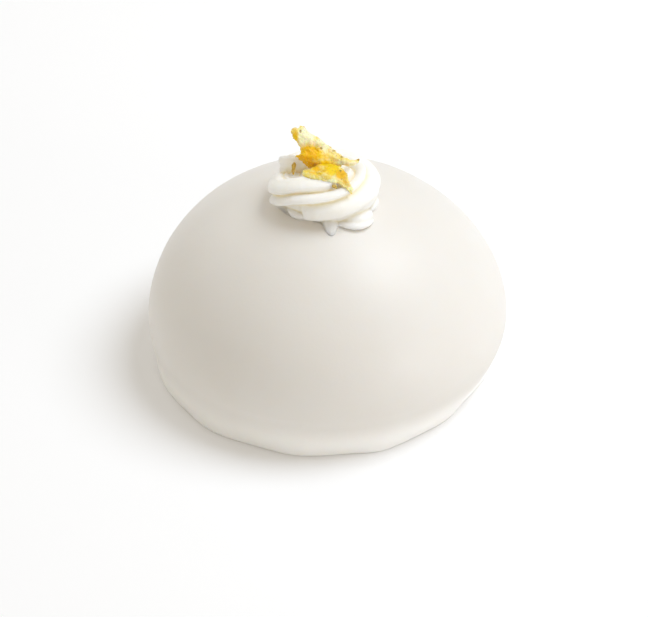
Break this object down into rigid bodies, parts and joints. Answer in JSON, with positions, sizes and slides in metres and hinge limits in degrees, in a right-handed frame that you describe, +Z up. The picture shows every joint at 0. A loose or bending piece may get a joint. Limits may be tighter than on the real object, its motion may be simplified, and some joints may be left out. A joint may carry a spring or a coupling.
{
  "type": "lemon dome cake",
  "caption": "Single-portion domed cake in pale glaze, with a piped rosette of cream and crumpled candied lemon on top.",
  "frame": {"origin": "middle of the flat underside, on the surface that the cake stands on", "axes": "+Z up; -Y is the front, where the base rope of the cream shows; +X is to the right as seen from the front"},
  "size_m": [0.0842, 0.0838, 0.0615],
  "materials": {
    "glaze": "satin",
    "cream": "satin",
    "lemon": "satin"
  },
  "bodies": {
    "root": {"cake": "glaze", "cream_rosette": "cream", "lemon_flake": "lemon", "lemon_strip": "lemon"}
  },
  "joints": []
}
